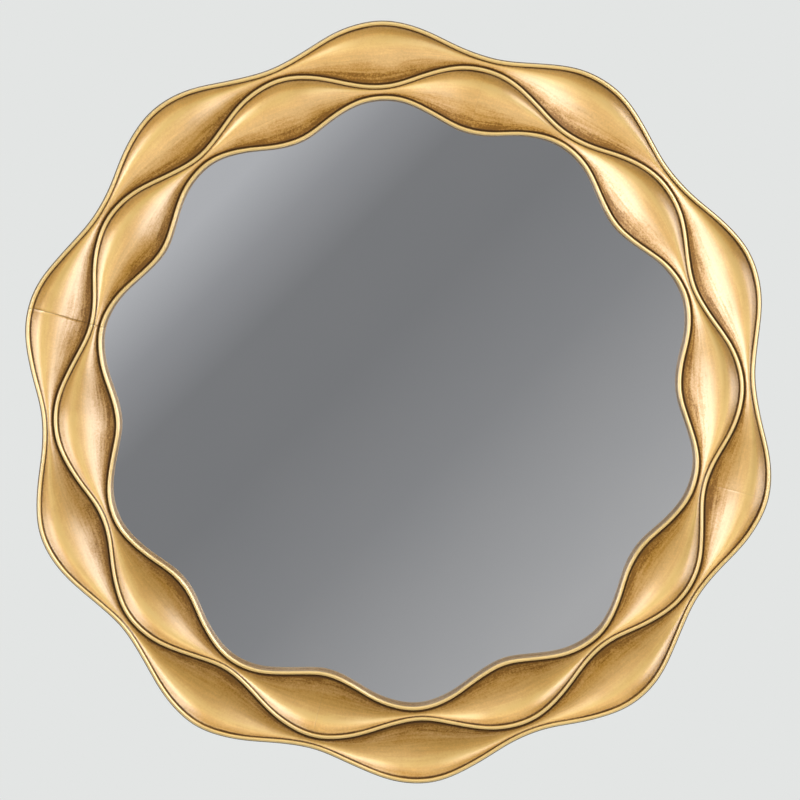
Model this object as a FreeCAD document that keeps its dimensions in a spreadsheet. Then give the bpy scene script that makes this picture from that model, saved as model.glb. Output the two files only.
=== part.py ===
import FreeCAD, Part
import Sketcher
import math
import os

# A round wall mirror in a carved, gilded wood frame of ten lobes.
# The wall is the plane y = 0 and the mirror looks along -Y, with +Z up. The origin is the middle
# of the ring on the wall. Lengths are millimetres and angles degrees, counted anticlockwise from
# +X as the front is seen.

Vector = FreeCAD.Vector
Rotation = FreeCAD.Rotation
TURN_AXIS = Vector(0, -1, 0)

DRIVING_SIZES = {
    # Carved ring: an inner, a middle and an outer wavy bead, with a cove between each two
    "lobe_count": 10,
    "top_lobe_angle": 93.4,
    "inner_bead_radius": 346,
    "inner_wave": 14.6,
    "inner_pinch": 12.7,
    "middle_wave": 15.7,
    "outer_pinch": 12.6,
    "outer_wave": 14.7,
    "wave_flattening": 0.5,
    "bead_half_width": 2.1,
    "bead_height": 2.2,
    "bead_step": 0.5,
    "quirk_width": 2,
    "quirk_depth": 0.9,
    "cove_depth": 13,
    "cove_low_share": 0.7,
    "cove_wall_share": 0.75,
    "lip_thickness": 3,
    "rim_step": 1.2,
    "rim_drop": 2,
    # Glass and what closes the frame behind it
    "glass_thickness": 4,
    "glass_lap": 7.8,
    "glass_clearance": 1.5,
    "glass_arris": 0.6,
    "cushion_thickness": 1.5,
    "board_thickness": 5,
    "board_chamfer": 0.8,
    # Dowels across the four glued joints
    "dowel_radius": 4,
    "dowel_length": 50,
    "dowel_chamfer": 1,
    "dowel_inset": 14,
    "dowel_spacing": 24,
    "dowel_height": 6.5,
    "dowel_clearance": 0.1,
    "dowel_end_gap": 1.5,
    # Turn buttons that hold the backing board
    "button_count": 8,
    "button_angle": 22.5,
    "button_inset": 12,
    "button_reach": 26,
    "button_tail": 9,
    "button_width": 12,
    "button_corner": 5,
    "button_sheet": 1.5,
    "button_gap": 0.3,
    "button_tip_length": 7,
    "button_tip_lift": 1.6,
    "button_hole_clearance": 0.25,
    # Wood screws
    "button_screw_shank": 1.75,
    "button_screw_head": 3.6,
    "button_screw_grip": 10,
    "hanger_screw_shank": 2,
    "hanger_screw_head": 3.9,
    "hanger_screw_grip": 12,
    "screw_head_height": 1.9,
    "screw_head_edge": 0.7,
    "screw_crown_share": 0.6,
    "screw_point": 3,
    "screw_bore_clearance": 0.05,
    "screw_bore_spare": 1,
    # Strap hangers with their rings
    "hanger_angle": 54,
    "hanger_inset": 48,
    "strap_width": 16,
    "strap_length": 38,
    "strap_corner": 4,
    "strap_sheet": 1,
    "strap_hole_clearance": 0.25,
    "hanger_screw_near": 12,
    "hanger_screw_spacing": 16,
    "ring_wire": 1.5,
    "ring_opening": 20,
    "ring_reach": 22,
    "ring_bend": 3,
    "ring_clearance": 0.2,
    "ring_rest_gap": 0.3,
    # Bumpers that keep the lower edge off the wall
    "bumper_angle": 60,
    "bumper_inset": 32,
    "bumper_height": 7,
    "bumper_base": 8,
    "bumper_face": 6.5,
    "bumper_round": 1,
}

DERIVED_SIZES = {
    # Rings and heights of the carving, with heights counted from the glass
    "quirk_side": "=bead_half_width + quirk_width / 2",
    "cove_side": "=bead_half_width + quirk_width",
    "middle_bead_radius": "=inner_bead_radius + inner_wave + middle_wave + inner_pinch",
    "outer_bead_radius": "=middle_bead_radius + middle_wave + outer_wave + outer_pinch",
    "outer_bead_top": "=lip_thickness + cove_depth + bead_height",
    "middle_bead_top": "=outer_bead_top + bead_step",
    "inner_bead_top": "=middle_bead_top + bead_step",
    "outer_cove_width": "=outer_pinch + 2 * (middle_wave + outer_wave) - quirk_side - cove_side",
    "inner_cove_width": "=inner_pinch + 2 * (inner_wave + middle_wave) - quirk_side - cove_side",
    # Planes across the depth
    "rebate_depth": "=glass_thickness + cushion_thickness + board_thickness",
    "frame_back": "=-bumper_height",
    "cushion_back": "=frame_back - board_thickness",
    "glass_back": "=cushion_back - cushion_thickness",
    "glass_front": "=glass_back - glass_thickness",
    "block_depth": "=rebate_depth + 2 * inner_bead_top",
    "block_front": "=frame_back - block_depth",
    "block_side": "=outer_bead_radius + outer_wave + bead_half_width + 2 * rim_step",
    "back_allowance": "=rebate_depth + bumper_height",
    # Round pieces in the frame
    "glass_radius": "=inner_bead_radius + inner_wave - bead_half_width + glass_lap",
    "rebate_radius": "=glass_radius + glass_clearance",
    # Dowels, about the plane of their joint
    "dowel_near": "=rebate_radius + dowel_inset",
    "dowel_far": "=dowel_near + dowel_spacing",
    "dowel_depth": "=bumper_height + dowel_height",
    "dowel_half": "=dowel_length / 2",
    "dowel_shoulder": "=dowel_half - dowel_chamfer",
    "dowel_end_radius": "=dowel_radius - dowel_chamfer",
    "dowel_bore": "=dowel_radius + dowel_clearance",
    "dowel_bore_half": "=dowel_half + dowel_end_gap",
    # Turn buttons, with heights counted from the back of the frame
    "button_radius": "=rebate_radius + button_inset",
    "button_top": "=button_gap + button_sheet",
    "button_bend": "=button_reach - button_tip_length",
    "button_tip": "=button_gap + button_tip_lift",
    "button_tip_top": "=button_tip + button_sheet",
    "button_hole": "=button_screw_shank + button_hole_clearance",
    "button_screw_seat": "=button_top + button_gap",
    # Strap hangers, with heights counted from the back of the frame
    "hanger_radius": "=rebate_radius + hanger_inset",
    "hanger_x": "=hanger_radius * cos(hanger_angle)",
    "hanger_z": "=hanger_radius * sin(hanger_angle)",
    "strap_half": "=strap_width / 2",
    "strap_thickness": "=2 * strap_sheet",
    "strap_hole": "=hanger_screw_shank + strap_hole_clearance",
    "hanger_screw_far": "=hanger_screw_near + hanger_screw_spacing",
    "eye_bore": "=ring_wire + ring_clearance",
    "eye_radius": "=eye_bore + strap_sheet",
    "ring_axis": "=frame_back + eye_radius",
    "ring_half": "=ring_opening / 2 + ring_wire",
    "ring_bar": "=ring_half - ring_bend",
    "ring_arch": "=ring_reach - ring_half",
    "ring_lean": "=asin((eye_radius - ring_wire - ring_rest_gap) / ring_reach)",
    # Bumpers
    "bumper_radius": "=rebate_radius + bumper_inset",
    "bumper_x": "=bumper_radius * cos(bumper_angle)",
    "bumper_z": "=bumper_radius * sin(bumper_angle)",
}

SECTIONS_PER_LOBE = 8
SPARE_SECTIONS = 2

QUARTER_NAMES = (
    "frame_quarter_upper_left",
    "frame_quarter_lower_left",
    "frame_quarter_lower_right",
    "frame_quarter_upper_right",
)

# A sketch's own marks: its root point and axes, and the places on an edge
V_AXIS, H_AXIS = range(-2, 0)
ROOT = H_AXIS
START, END, CENTRE = range(1, 4)

doc = FreeCAD.newDocument("carved_wall_mirror")
sheet = doc.addObject("Spreadsheet::Sheet", "sizes")
sub_parts = []


# Sizes and sketches

def fill_sheet():
    row = 0
    for group in (DRIVING_SIZES, DERIVED_SIZES):
        for name, content in group.items():
            row += 1
            sheet.set(f"A{row}", name)
            sheet.set(f"B{row}", str(content))
            sheet.setAlias(f"B{row}", name)
    doc.recompute()


def amount(name):
    """The number behind a size's name, which may carry a minus sign. A bare 0 is zero."""
    if name == "0":
        return 0.0
    number = float(getattr(sheet, name.lstrip("-")))
    return -number if name.startswith("-") else number


def cell(name):
    """A size's name, with its sign, as an expression."""
    return name.replace("-", "-sizes.") if name.startswith("-") else "sizes." + name


def turned(angle):
    return Rotation(TURN_AXIS, angle)


def place(thing, x="0", y="0", z="0", rotation=Rotation()):
    """Place an object by expressions for its x, y and z."""
    thing.Placement = FreeCAD.Placement(Vector(), rotation)
    thing.setExpression("Placement.Base.x", x)
    thing.setExpression("Placement.Base.y", y)
    thing.setExpression("Placement.Base.z", z)


def new_body(name):
    body = doc.addObject("PartDesign::Body", name)
    body.Label = name
    return body


def origin_feature(body, role):
    return next(item for item in body.Origin.OriginFeatures if item.Role == role)


def new_sketch(body, name, plane, **offset):
    """A sketch on one of its body's own planes, moved by named sizes along the sketch's x, y or z."""
    sketch = body.newObject("Sketcher::SketchObject", name)
    sketch.AttachmentSupport = [(origin_feature(body, plane), "")]
    sketch.MapMode = "FlatFace"
    for axis, size in offset.items():
        sketch.setExpression(f"AttachmentOffset.Base.{axis}", cell(size))
    return sketch


def bind(sketch, constraint, size):
    index = sketch.addConstraint(constraint)
    sketch.setExpression(f"Constraints[{index}]", cell(size))


def pin(sketch, item, end, x, y):
    """Hold a point of the sketch at two named sizes."""
    for kind, size, axis in (("DistanceX", x, V_AXIS), ("DistanceY", y, H_AXIS)):
        if size == "0":
            sketch.addConstraint(Sketcher.Constraint("PointOnObject", item, end, axis))
        else:
            bind(sketch, Sketcher.Constraint(kind, ROOT, START, item, end, amount(size)), size)


def draw_outline(sketch, corners):
    """A closed outline of straight edges through corners that are named sizes."""
    points = [Vector(amount(x), amount(y), 0) for x, y in corners]
    for point, following in zip(points, points[1:] + points[:1]):
        sketch.addGeometry(Part.LineSegment(point, following))
    for index, (x, y) in enumerate(corners):
        following = (index + 1) % len(corners)
        sketch.addConstraint(Sketcher.Constraint("Coincident", index, END, following, START))
        pin(sketch, index, START, x, y)


def draw_circle(sketch, x, y, radius):
    middle = Vector(amount(x), amount(y), 0)
    item = sketch.addGeometry(Part.Circle(middle, Vector(0, 0, 1), amount(radius)))
    pin(sketch, item, CENTRE, x, y)
    bind(sketch, Sketcher.Constraint("Radius", item, amount(radius)), radius)


def pad(body, name, sketch, length, both_sides=False, backward=False):
    feature = body.newObject("PartDesign::Pad", name)
    feature.Profile = sketch
    feature.setExpression("Length", cell(length))
    feature.SideType = "Symmetric" if both_sides else "One side"
    feature.Reversed = backward
    doc.recompute()
    return feature


def drill(body, name, sketch):
    """A cut through the whole body, both ways from the sketch."""
    feature = body.newObject("PartDesign::Pocket", name)
    feature.Profile = sketch
    feature.Type = "ThroughAll"
    feature.SideType = "Symmetric"
    doc.recompute()
    return feature


def revolve(body, name, sketch, axis="V_Axis"):
    feature = body.newObject("PartDesign::Revolution", name)
    feature.Profile = sketch
    feature.ReferenceAxis = (sketch, [axis])
    feature.Angle = 360
    doc.recompute()
    return feature


def edges_where(shape, test):
    return [f"Edge{index + 1}" for index, edge in enumerate(shape.Edges) if test(edge)]


def soften(body, kind, base, edges, size):
    """A chamfer or a fillet of a named size on some edges of the last feature."""
    feature = body.newObject("PartDesign::" + kind, kind.lower() + "_" + base.Name)
    feature.Base = (base, edges)
    feature.setExpression("Size" if kind == "Chamfer" else "Radius", cell(size))
    doc.recompute()
    return feature


def repeat_round(body, name, features, count):
    """Copies of some features, evenly spaced round the body's Y axis."""
    pattern = body.newObject("PartDesign::PolarPattern", name)
    pattern.Originals = features
    pattern.Axis = (origin_feature(body, "Y_Axis"), [""])
    pattern.Angle = 360
    if isinstance(count, str):
        pattern.setExpression("Occurrences", cell(count))
    else:
        pattern.Occurrences = count
    body.Tip = pattern
    doc.recompute()
    return pattern


# The carved ring

def ring_radii(phase):
    """Radii of the outer, middle and inner bead at an angle past a lobe's crest, in radians."""
    swing = math.cos(sheet.lobe_count * phase)
    second = sheet.wave_flattening * math.cos(2 * sheet.lobe_count * phase)
    outer = sheet.outer_bead_radius + sheet.outer_wave * swing
    middle = sheet.middle_bead_radius - sheet.middle_wave * swing - second
    inner = sheet.inner_bead_radius + sheet.inner_wave * swing - second
    return outer, middle, inner


class Profile:
    """A closed outline in the plane through the ring's axis at one angle, drawn edge by edge.

    Its points are a radius and a height above the front of the glass.
    """

    def __init__(self, angle, radius, height):
        self.across = Vector(math.cos(angle), 0, math.sin(angle))
        self.start = (radius, height)
        self.end = self.start
        self.edges = []

    def point(self, spot):
        radius, height = spot
        return self.across * radius + Vector(0, sheet.glass_front - height, 0)

    def line(self, radius, height):
        spot = (radius, height)
        self.edges.append(Part.LineSegment(self.point(self.end), self.point(spot)).toShape())
        self.end = spot

    def arc(self, middle, spot):
        ends = (self.point(self.end), self.point(middle), self.point(spot))
        self.edges.append(Part.Arc(*ends).toShape())
        self.end = spot

    def bead(self, radius, top):
        """A half-round bead of two arcs that meet at its crest."""
        crest = (radius, top)
        foot = top - sheet.bead_height
        outer = (radius + sheet.bead_half_width, foot)
        inner = (radius - sheet.bead_half_width, foot)
        self.line(*outer)
        self.arc(arc_middle(crest, outer), crest)
        self.arc(arc_middle(crest, inner), inner)

    def cove(self, outer, inner, widest):
        """The hollow between two beads, which are given by their radius and top.

        A steep wall drops from the outer bead, two arcs meet at the lowest point, and a quirk parts the
        hollow from the inner bead.
        """
        foot = inner[1] - sheet.bead_height
        edge = (inner[0] + sheet.cove_side, foot)
        wall = outer[0] - sheet.quirk_side
        width = wall - edge[0]
        depth = sheet.cove_depth * width / widest
        floor = min(inner[1], outer[1]) - sheet.bead_height - depth
        corner = (wall, floor + depth * (1 - sheet.cove_wall_share))
        lowest = (edge[0] + sheet.cove_low_share * width, floor)
        self.line(*corner)
        self.arc(arc_middle(lowest, corner), lowest)
        self.arc(arc_middle(lowest, edge), edge)
        self.line(inner[0] + sheet.quirk_side, foot - sheet.quirk_depth)

    def wire(self):
        self.line(*self.start)
        return Part.Wire(self.edges)


def arc_middle(level, end):
    """The middle of the arc that leaves one point level and rises or falls to an end."""
    run = end[0] - level[0]
    rise = end[1] - level[1]
    radius = (run * run + rise * rise) / (2 * rise)
    half_turn = math.atan(rise / abs(run))
    aside = math.copysign(radius * math.sin(half_turn), run)
    return level[0] + aside, level[1] + radius * (1 - math.cos(half_turn))


def moulding_section(phase):
    """The moulding's section, from the outer side over the three beads to the sight edge."""
    tops = (sheet.outer_bead_top, sheet.middle_bead_top, sheet.inner_bead_top)
    outer, middle, inner = zip(ring_radii(phase), tops)
    foot = -sheet.rebate_depth - sheet.back_allowance
    rim = outer[0] + sheet.bead_half_width + sheet.rim_step

    profile = Profile(phase + math.radians(sheet.top_lobe_angle), rim, foot)
    profile.line(rim, sheet.outer_bead_top - sheet.bead_height - sheet.rim_drop)
    profile.bead(*outer)
    profile.cove(outer, middle, sheet.outer_cove_width)
    profile.bead(*middle)
    profile.cove(middle, inner, sheet.inner_cove_width)
    profile.bead(*inner)
    profile.line(inner[0] - sheet.bead_half_width, foot)
    return profile.wire()


def joint_angle(index):
    """Angle of a glued joint. The first lies half a lobe short of the top lobe's crest."""
    return sheet.top_lobe_angle - 180 / sheet.lobe_count + 90 * index


def carve_quarter(index, name, cutters):
    """A quarter of the ring: the carved moulding, sawn at two joints and at the back, then cut out."""
    step = 2 * math.pi / sheet.lobe_count / SECTIONS_PER_LOBE
    first = math.radians(joint_angle(index) - sheet.top_lobe_angle)
    count = round(math.pi / 2 / step)
    phases = [first + step * turn for turn in range(-SPARE_SECTIONS, count + SPARE_SECTIONS + 1)]
    carving = doc.addObject("Part::Feature", f"carving_{index + 1}")
    carving.Shape = Part.makeLoft([moulding_section(phase) for phase in phases], True)

    block = doc.addObject("Part::Box", f"block_{index + 1}")
    block.setExpression("Length", "sizes.block_side")
    block.setExpression("Height", "sizes.block_side")
    block.setExpression("Width", "sizes.block_depth")
    place(block, y="sizes.block_front", rotation=turned(joint_angle(index)))

    sawn = doc.addObject("Part::Common", f"sawn_{index + 1}")
    sawn.Base = carving
    sawn.Tool = block
    quarter = doc.addObject("Part::Cut", name)
    quarter.Label = name
    quarter.Base = sawn
    quarter.Tool = cutters
    return quarter


def make_frame(bores):
    """Four quarters, cut by the rebate for the glass and by the bores for dowels and screws."""
    rebate = doc.addObject("Part::Cylinder", "rebate")
    rebate.setExpression("Radius", "sizes.rebate_radius")
    rebate.setExpression("Height", "sizes.rebate_depth + sizes.bumper_height")
    place(rebate, y="sizes.glass_front", rotation=Rotation(Vector(1, 0, 0), -90))
    cutters = doc.addObject("Part::MultiFuse", "cutters")
    cutters.Shapes = [rebate, *bores]
    return [carve_quarter(index, name, cutters) for index, name in enumerate(QUARTER_NAMES)]


# Dowels

def make_dowels(name, corners):
    """Two pegs across each of the four joints, as one group turned from the same outline."""
    body = new_body(name)
    pegs = []
    for row in ("dowel_near", "dowel_far"):
        sketch = new_sketch(body, f"{name}_{row}_outline", "XZ_Plane", x=row, z="dowel_depth")
        draw_outline(sketch, corners)
        pegs.append(revolve(body, f"{name}_{row}_peg", sketch))
    repeat_round(body, name + "_joints", pegs, len(QUARTER_NAMES))
    place(body, rotation=turned(joint_angle(0)))
    return body


DOWEL_OUTLINE = (
    ("0", "-dowel_half"),
    ("dowel_end_radius", "-dowel_half"),
    ("dowel_radius", "-dowel_shoulder"),
    ("dowel_radius", "dowel_shoulder"),
    ("dowel_end_radius", "dowel_half"),
    ("0", "dowel_half"),
)

DOWEL_BORE_OUTLINE = (
    ("0", "-dowel_bore_half"),
    ("dowel_bore", "-dowel_bore_half"),
    ("dowel_bore", "dowel_bore_half"),
    ("0", "dowel_bore_half"),
)


# Glass, cushion and board

def make_disc(name, radius, thickness, back, edge=None):
    """A round sheet whose back lies on a named plane, with both edges softened if a size is given."""
    body = new_body(name)
    sketch = new_sketch(body, name + "_outline", "XZ_Plane")
    draw_circle(sketch, "0", "0", radius)
    sheet_pad = pad(body, name + "_sheet", sketch, thickness)
    if edge:
        rims = edges_where(sheet_pad.Shape, lambda item: isinstance(item.Curve, Part.Circle))
        soften(body, "Chamfer", sheet_pad, rims, edge)
    place(body, y=cell(back))
    return body


# Screws

def screw_sizes(kind, seat):
    """Worked-out sizes of one kind of screw, whose head lies on a seat above the frame's back."""
    shank = f"{kind}_screw_shank"
    grip = f"{kind}_screw_grip"
    return {
        f"{kind}_screw_crown": f"={kind}_screw_head * screw_crown_share",
        f"{kind}_screw_edge": f"={seat} + screw_head_edge",
        f"{kind}_screw_top": f"={seat} + screw_head_height",
        f"{kind}_screw_taper": f"={grip} - screw_point",
        f"{kind}_screw_bore": f"={shank} + screw_bore_clearance",
        f"{kind}_screw_bore_end": f"={grip} + screw_bore_spare",
    }


def screw_outline(kind, seat):
    return (
        ("0", f"-{kind}_screw_grip"),
        (f"{kind}_screw_shank", f"-{kind}_screw_taper"),
        (f"{kind}_screw_shank", seat),
        (f"{kind}_screw_head", seat),
        (f"{kind}_screw_head", f"{kind}_screw_edge"),
        (f"{kind}_screw_crown", f"{kind}_screw_top"),
        ("0", f"{kind}_screw_top"),
    )


def bore_outline(kind):
    return (
        ("0", f"-{kind}_screw_bore_end"),
        (f"{kind}_screw_bore", f"-{kind}_screw_bore_end"),
        (f"{kind}_screw_bore", "screw_bore_spare"),
        ("0", "screw_bore_spare"),
    )


def make_button_screws(name, corners):
    """Screws, or their bores, on the circle of the turn buttons' pivots."""
    body = new_body(name)
    sketch = new_sketch(body, name + "_outline", "XY_Plane", x="button_radius")
    draw_outline(sketch, corners)
    turned_piece = revolve(body, name + "_turned", sketch)
    repeat_round(body, name + "_circle", [turned_piece], "button_count")
    place(body, y="sizes.frame_back", rotation=turned(sheet.button_angle))
    return body


def make_hanger_screws(name, corners, side):
    """The two screws of one strap, or their bores."""
    body = new_body(name)
    for row in ("hanger_screw_near", "hanger_screw_far"):
        sketch = new_sketch(body, f"{name}_{row}_outline", "XY_Plane", z="-" + row)
        draw_outline(sketch, corners)
        revolve(body, f"{name}_{row}_turned", sketch)
    place_hanger(body, side, "sizes.frame_back")
    return body


# Turn buttons

def make_turn_button(index):
    """A strip of brass that turns on its screw, with rounded ends and a lifted finger tip."""
    name = f"turn_button_{index + 1}"
    body = new_body(name)
    sketch = new_sketch(body, name + "_side", "XZ_Plane")
    draw_outline(sketch, (
        ("-button_tail", "button_gap"),
        ("button_bend", "button_gap"),
        ("button_reach", "button_tip"),
        ("button_reach", "button_tip_top"),
        ("button_bend", "button_top"),
        ("-button_tail", "button_top"),
    ))
    strip = pad(body, name + "_strip", sketch, "button_width", both_sides=True)
    soften(body, "Fillet", strip, edges_where(strip.Shape, is_upright), "button_corner")
    hole = new_sketch(body, name + "_hole", "XY_Plane")
    draw_circle(hole, "0", "0", "button_hole")
    drill(body, name + "_pivot", hole)

    angle = f"(sizes.button_angle + {index} * 360 / sizes.button_count)"
    heading = sheet.button_angle + index * 360 / sheet.button_count
    inward = Vector(-math.cos(math.radians(heading)), 0, -math.sin(math.radians(heading)))
    off_frame = Vector(0, 1, 0)
    place(
        body,
        x=f"sizes.button_radius * cos{angle}",
        y="sizes.frame_back",
        z=f"sizes.button_radius * sin{angle}",
        rotation=Rotation(inward, off_frame.cross(inward), off_frame, "ZXY"),
    )
    return body


def is_upright(edge):
    box = edge.BoundBox
    return box.ZLength > box.XLength + box.YLength


# Strap hangers

def place_hanger(body, side, depth, rotation=Rotation()):
    place(body, x=f"{side} * sizes.hanger_x", y=depth, z="sizes.hanger_z", rotation=rotation)


def make_strap(name, side):
    """A strip folded double round the ring's bar, with its two legs screwed flat to the frame."""
    body = new_body(name)
    legs = new_sketch(body, name + "_legs_outline", "XZ_Plane")
    draw_outline(legs, (
        ("-strap_half", "-strap_length"),
        ("strap_half", "-strap_length"),
        ("strap_half", "0"),
        ("-strap_half", "0"),
    ))
    plate = pad(body, name + "_legs", legs, "strap_thickness", backward=True)
    soften(body, "Fillet", plate, edges_where(plate.Shape, is_low_corner), "strap_corner")
    fold = new_sketch(body, name + "_fold_outline", "YZ_Plane")
    draw_circle(fold, "eye_radius", "0", "eye_radius")
    pad(body, name + "_fold", fold, "strap_width", both_sides=True)
    eye = new_sketch(body, name + "_eye_outline", "YZ_Plane")
    draw_circle(eye, "eye_radius", "0", "eye_bore")
    drill(body, name + "_eye", eye)
    holes = new_sketch(body, name + "_holes_outline", "XZ_Plane")
    for row in ("hanger_screw_near", "hanger_screw_far"):
        draw_circle(holes, "0", "-" + row, "strap_hole")
    drill(body, name + "_holes", holes)
    place_hanger(body, side, "sizes.frame_back")
    return body


def is_low_corner(edge):
    """An edge across the sheet at the free end of a strap's legs."""
    box = edge.BoundBox
    return box.ZMax < -sheet.strap_half and box.YLength > box.XLength + box.ZLength


def make_ring(name, side):
    """A wire ring: a straight bar in the strap's fold, two bends, two arms and a round arch."""
    body = new_body(name)
    path = new_sketch(body, name + "_path", "XZ_Plane")
    draw_ring_path(path)
    wire = new_sketch(body, name + "_wire", "YZ_Plane")
    draw_circle(wire, "0", "0", "ring_wire")
    pipe = body.newObject("PartDesign::AdditivePipe", name + "_pipe")
    pipe.Profile = wire
    pipe.Spine = path
    doc.recompute()
    lean = Rotation(Vector(1, 0, 0), sheet.ring_lean)
    place_hanger(body, side, "sizes.ring_axis", lean)
    return body


def draw_ring_path(sketch):
    half = sheet.ring_half
    bend = sheet.ring_bend
    bar = sheet.ring_bar
    arch = sheet.ring_arch
    normal = Vector(0, 0, 1)

    def arc(x, y, radius, first, last):
        circle = Part.Circle(Vector(x, y, 0), normal, radius)
        return Part.ArcOfCircle(circle, math.radians(first), math.radians(last))

    def line(x1, y1, x2, y2):
        return Part.LineSegment(Vector(x1, y1, 0), Vector(x2, y2, 0))

    pieces = (
        line(0, 0, bar, 0),
        arc(bar, bend, bend, -90, 0),
        line(half, bend, half, arch),
        arc(0, arch, half, 0, 180),
        line(-half, arch, -half, bend),
        arc(-bar, bend, bend, 180, 270),
        line(-bar, 0, 0, 0),
    )
    for piece in pieces:
        sketch.addGeometry(piece)
    right_bar, right_bend, right_arm, top, left_arm, left_bend, left_bar = range(len(pieces))
    for before, after in zip(range(left_bar), range(1, len(pieces))):
        sketch.addConstraint(Sketcher.Constraint("Tangent", before, END, after, START))
    pin(sketch, right_bar, START, "0", "0")
    sketch.addConstraint(Sketcher.Constraint("Coincident", left_bar, END, right_bar, START))
    sketch.addConstraint(Sketcher.Constraint("Horizontal", right_bar))
    sketch.addConstraint(Sketcher.Constraint("Horizontal", left_bar))
    bind(sketch, Sketcher.Constraint("Radius", right_bend, bend), "ring_bend")
    bind(sketch, Sketcher.Constraint("Radius", left_bend, bend), "ring_bend")
    bind(sketch, Sketcher.Constraint("Radius", top, half), "ring_half")
    pin(sketch, top, CENTRE, "0", "ring_arch")


# Wall bumpers

def make_bumper(name, side):
    """A rubber stud that tapers to the flat face that meets the wall."""
    body = new_body(name)
    sketch = new_sketch(body, name + "_outline", "XY_Plane")
    draw_outline(sketch, (
        ("0", "frame_back"),
        ("bumper_base", "frame_back"),
        ("bumper_face", "0"),
        ("0", "0"),
    ))
    stud = revolve(body, name + "_stud", sketch)
    rim = edges_where(stud.Shape, lambda edge: edge.Closed and edge.BoundBox.YMin > sheet.frame_back / 2)
    soften(body, "Fillet", stud, rim, "bumper_round")
    place(body, x=f"{side} * sizes.bumper_x", z="-sizes.bumper_z")
    return body


# The whole mirror

DERIVED_SIZES.update(screw_sizes("button", "button_screw_seat"))
DERIVED_SIZES.update(screw_sizes("hanger", "strap_thickness"))
SIDES = {"left": -1, "right": 1}


def build():
    fill_sheet()
    bores = [
        make_dowels("dowel_bores", DOWEL_BORE_OUTLINE),
        make_button_screws("button_bores", bore_outline("button")),
    ]
    for word, side in SIDES.items():
        bores.append(make_hanger_screws(f"hanger_bores_{word}", bore_outline("hanger"), side))
    sub_parts.extend(make_frame(bores))
    sub_parts.append(make_dowels("joint_dowels", DOWEL_OUTLINE))

    for name, thickness, back, edge in (
        ("mirror_glass", "glass_thickness", "glass_back", "glass_arris"),
        ("cushion_sheet", "cushion_thickness", "cushion_back", None),
        ("backing_board", "board_thickness", "frame_back", "board_chamfer"),
    ):
        sub_parts.append(make_disc(name, "glass_radius", thickness, back, edge))

    for index in range(int(sheet.button_count)):
        sub_parts.append(make_turn_button(index))
    sub_parts.append(make_button_screws("turn_button_screws", screw_outline("button", "button_screw_seat")))

    for word, side in SIDES.items():
        sub_parts.append(make_strap(f"hanger_strap_{word}", side))
        sub_parts.append(make_ring(f"hanger_ring_{word}", side))
        outline = screw_outline("hanger", "strap_thickness")
        sub_parts.append(make_hanger_screws(f"hanger_screws_{word}", outline, side))
        sub_parts.append(make_bumper(f"wall_bumper_{word}", side))
    doc.recompute()


def check():
    for item in doc.Objects:
        if "Invalid" in item.State or "Error" in item.State:
            raise RuntimeError(f"{item.Label} failed to recompute")
    for item in sub_parts:
        if item.Shape.isNull() or not item.Shape.isValid() or not item.Shape.Solids:
            raise RuntimeError(f"{item.Label} has no valid solid")


def write():
    os.makedirs("parts", exist_ok=True)
    for item in sub_parts:
        item.Shape.exportStep(f"parts/{item.Label}.step")


build()
check()
write()
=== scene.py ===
import math

import bmesh
import bpy
import numpy as np
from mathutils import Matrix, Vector


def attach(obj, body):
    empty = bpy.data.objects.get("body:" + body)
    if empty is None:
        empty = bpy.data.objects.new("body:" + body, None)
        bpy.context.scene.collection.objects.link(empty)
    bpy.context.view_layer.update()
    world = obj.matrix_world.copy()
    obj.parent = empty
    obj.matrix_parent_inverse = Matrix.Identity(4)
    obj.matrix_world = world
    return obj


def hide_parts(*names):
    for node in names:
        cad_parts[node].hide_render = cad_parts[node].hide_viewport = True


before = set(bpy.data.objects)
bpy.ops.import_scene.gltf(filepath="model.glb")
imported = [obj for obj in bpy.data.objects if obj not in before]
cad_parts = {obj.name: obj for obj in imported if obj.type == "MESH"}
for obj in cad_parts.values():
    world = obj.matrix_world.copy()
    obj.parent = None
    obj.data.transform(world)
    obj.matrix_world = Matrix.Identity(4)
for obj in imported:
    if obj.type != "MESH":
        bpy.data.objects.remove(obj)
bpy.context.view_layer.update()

MM = 0.001
TURN = 2 * math.pi

# Sizes of the carved ring in millimetres, from the solids. Heights count from the front of the glass.
LOBES = 10
TOP_LOBE = math.radians(93.4)
INNER_BEAD = 346.0
INNER_WAVE = 14.6
INNER_PINCH = 12.7
MIDDLE_WAVE = 15.7
OUTER_PINCH = 12.6
OUTER_WAVE = 14.7
WAVE_FLATTENING = 0.5
MIDDLE_BEAD = INNER_BEAD + INNER_WAVE + INNER_PINCH + MIDDLE_WAVE
OUTER_BEAD = MIDDLE_BEAD + MIDDLE_WAVE + OUTER_PINCH + OUTER_WAVE
BEAD_HALF = 2.1
BEAD_HEIGHT = 2.2
BEAD_STEP = 0.5
QUIRK_WIDTH = 2.0
QUIRK_DEPTH = 0.9
QUIRK_SIDE = BEAD_HALF + QUIRK_WIDTH / 2
COVE_SIDE = BEAD_HALF + QUIRK_WIDTH
COVE_DEPTH = 13.0
COVE_LOW_SHARE = 0.7
# The corner under a hollow's outer bead lies higher than in the solids, for a softer slope
COVE_WALL_SHARE = 0.52
LIP = 3.0
RIM_STEP = 1.2
RIM_DROP = 2.0
OUTER_TOP = LIP + COVE_DEPTH + BEAD_HEIGHT
MIDDLE_TOP = OUTER_TOP + BEAD_STEP
INNER_TOP = MIDDLE_TOP + BEAD_STEP
OUTER_COVE = OUTER_PINCH + 2 * (MIDDLE_WAVE + OUTER_WAVE) - QUIRK_SIDE - COVE_SIDE
INNER_COVE = INNER_PINCH + 2 * (INNER_WAVE + MIDDLE_WAVE) - QUIRK_SIDE - COVE_SIDE
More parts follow.
